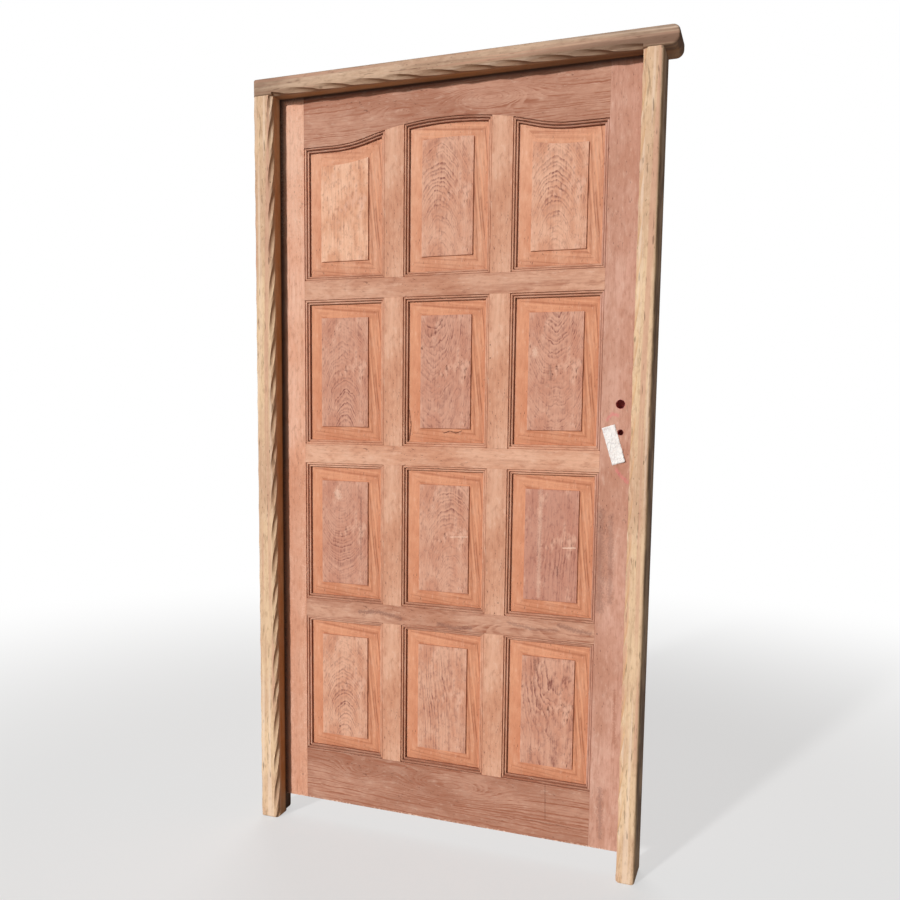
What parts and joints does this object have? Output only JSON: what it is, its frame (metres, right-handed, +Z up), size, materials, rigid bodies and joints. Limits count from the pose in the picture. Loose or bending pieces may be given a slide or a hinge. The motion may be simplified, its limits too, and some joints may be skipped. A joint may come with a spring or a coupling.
{
  "type": "panelled wooden door with frame",
  "caption": "Frame-and-panel wooden door leaf with raised panels under a cathedral top rail, hung on butt hinges in a rebated frame with hand-hewn arrises.",
  "frame": {"origin": "on the floor under the middle of the whole door's box, feet of the posts at z 0", "axes": "+X from the hinge side to the lock side as seen from the front, -Y to the viewer, +Z up"},
  "size_m": [1.1276, 0.109, 2.089],
  "materials": {
    "leaf_wood": "raw sanded red-brown hardwood",
    "panel_wood": "raw sanded red-brown hardwood, lively grain",
    "frame_wood": "raw tan hardwood, hewn arrises",
    "hinge_steel": "zinc-plated steel",
    "screw_steel": "zinc-plated steel",
    "paper": "matt white paper"
  },
  "bodies": {
    "frame": {"hinge_post": "frame_wood", "lock_post": "frame_wood", "head": "frame_wood", "bottom_hinge_frame_leaf": "hinge_steel", "bottom_hinge_pin": "hinge_steel", "frame_hinge_screws": "screw_steel", "middle_hinge_frame_leaf": "hinge_steel", "middle_hinge_pin": "hinge_steel", "top_hinge_frame_leaf": "hinge_steel", "top_hinge_pin": "hinge_steel"},
    "leaf": {"bottom_hinge_door_leaf": "hinge_steel", "bottom_rail": "leaf_wood", "door_hinge_screws": "screw_steel", "hinge_stile": "leaf_wood", "lock_stile": "leaf_wood", "lower_cross_rail": "leaf_wood", "middle_cross_rail": "leaf_wood", "middle_hinge_door_leaf": "hinge_steel", "muntin_row1_left": "leaf_wood", "muntin_row1_right": "leaf_wood", "muntin_row2_left": "leaf_wood", "muntin_row2_right": "leaf_wood", "muntin_row3_left": "leaf_wood", "muntin_row3_right": "leaf_wood", "muntin_row4_left": "leaf_wood", "muntin_row4_right": "leaf_wood", "panel_row1_left": "panel_wood", "panel_row1_middle": "panel_wood", "panel_row1_right": "panel_wood", "panel_row2_left": "panel_wood", "panel_row2_middle": "panel_wood", "panel_row2_right": "panel_wood", "panel_row3_left": "panel_wood", "panel_row3_middle": "panel_wood", "panel_row3_right": "panel_wood", "panel_row4_left": "panel_wood", "panel_row4_middle": "panel_wood", "panel_row4_right": "panel_wood", "paper_tag": "paper", "top_hinge_door_leaf": "hinge_steel", "top_rail": "leaf_wood", "upper_cross_rail": "leaf_wood"}
  },
  "joints": [
    {"name": "leaf_swing", "type": "hinge", "parent": "frame", "child": "leaf", "pos_m": [-0.51875, 0.0485, 1], "axis": [0, 0, 1], "range_deg": [0, 110]}
  ]
}
